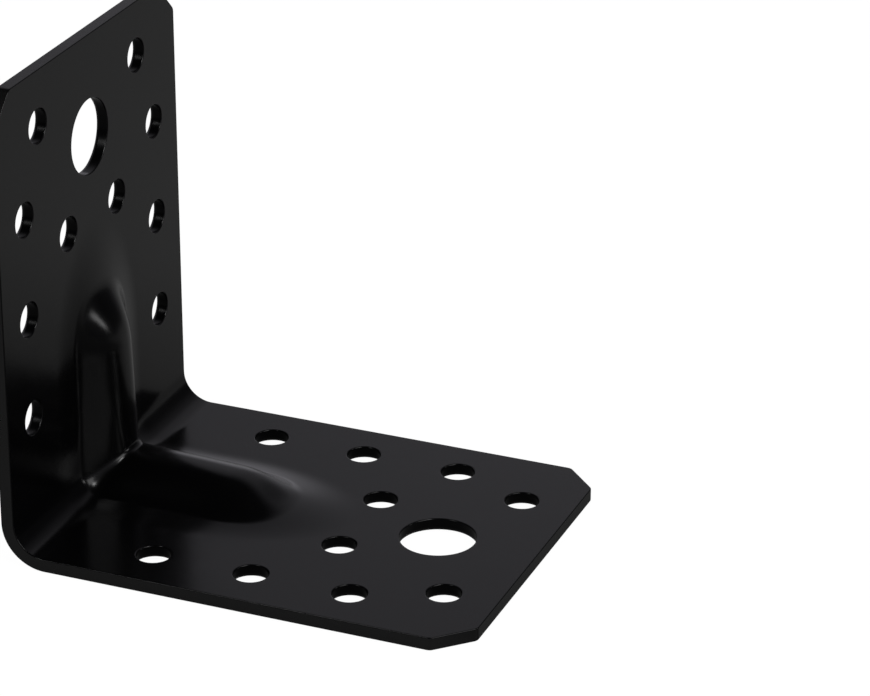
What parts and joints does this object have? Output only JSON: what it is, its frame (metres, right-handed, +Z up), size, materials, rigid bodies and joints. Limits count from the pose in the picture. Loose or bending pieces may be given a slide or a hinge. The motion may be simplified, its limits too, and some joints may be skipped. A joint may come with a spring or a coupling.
{
  "type": "corner brace bracket",
  "caption": "Black coated steel angle bracket pressed from one sheet, with screw holes, a bolt hole in each leg and a stiffening rib across the bend.",
  "frame": {"origin": "bottom centre of the bounding box, on the underside of the base leg", "axes": "+X from the wall leg along the base leg to its free end, +Y across the width, +Z up along the wall leg"},
  "size_m": [0.07, 0.055, 0.07],
  "materials": {
    "coating": "smooth semi-gloss black coating on steel sheet"
  },
  "bodies": {
    "root": {"bracket": "coating"}
  },
  "joints": []
}
